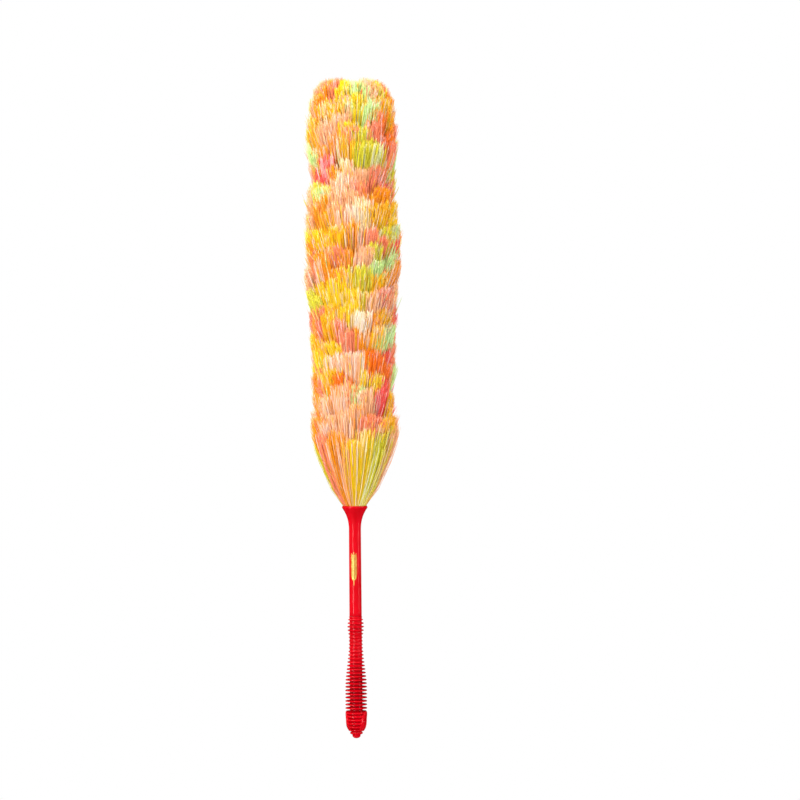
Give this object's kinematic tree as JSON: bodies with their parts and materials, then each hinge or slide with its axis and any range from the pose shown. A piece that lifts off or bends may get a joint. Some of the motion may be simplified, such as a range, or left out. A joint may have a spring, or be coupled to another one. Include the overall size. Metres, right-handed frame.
{
  "type": "feather duster",
  "caption": "Long hand duster: slim moulded handle with finned grip and flared collar, bushy banded fibre head on a twisted wire core.",
  "frame": {"origin": "lowest point of the handle's domed tip, on the handle's axis", "axes": "+Z along the handle from the tip towards the fibre head; +X out of one oval pad of the grip, along the hanging hole; +Y away from the side that carries the gold mark"},
  "size_m": [0.085, 0.085, 0.6],
  "materials": {
    "red_plastic": "glossy moulded polypropylene",
    "fibre": "split polypropylene fibre in bands of yellow, orange, coral, peach, lime and mint",
    "core_wire": "galvanised wire",
    "adhesive": "hot-melt adhesive",
    "wire_cap": "natural polyethylene",
    "gold_foil": "hot-stamped foil"
  },
  "bodies": {
    "root": {"ribbed_grip": "red_plastic", "handle_shaft": "red_plastic", "core_wire_a": "core_wire", "core_wire_b": "core_wire", "glue_plug": "adhesive", "wire_end_cap": "wire_cap", "fibre_tier_01": "fibre", "fibre_tier_02": "fibre", "fibre_tier_03": "fibre", "fibre_tier_04": "fibre", "fibre_tier_05": "fibre", "fibre_tier_06": "fibre", "fibre_tier_07": "fibre", "fibre_tier_08": "fibre", "fibre_tier_09": "fibre", "fibre_tier_10": "fibre", "fibre_tier_11": "fibre", "fibre_tier_12": "fibre", "fibre_tier_13": "fibre", "fibre_tier_14": "fibre", "fibre_tier_15": "fibre", "fibre_tier_16": "fibre", "fibre_tier_17": "fibre", "fibre_tier_18": "fibre"}
  },
  "joints": []
}
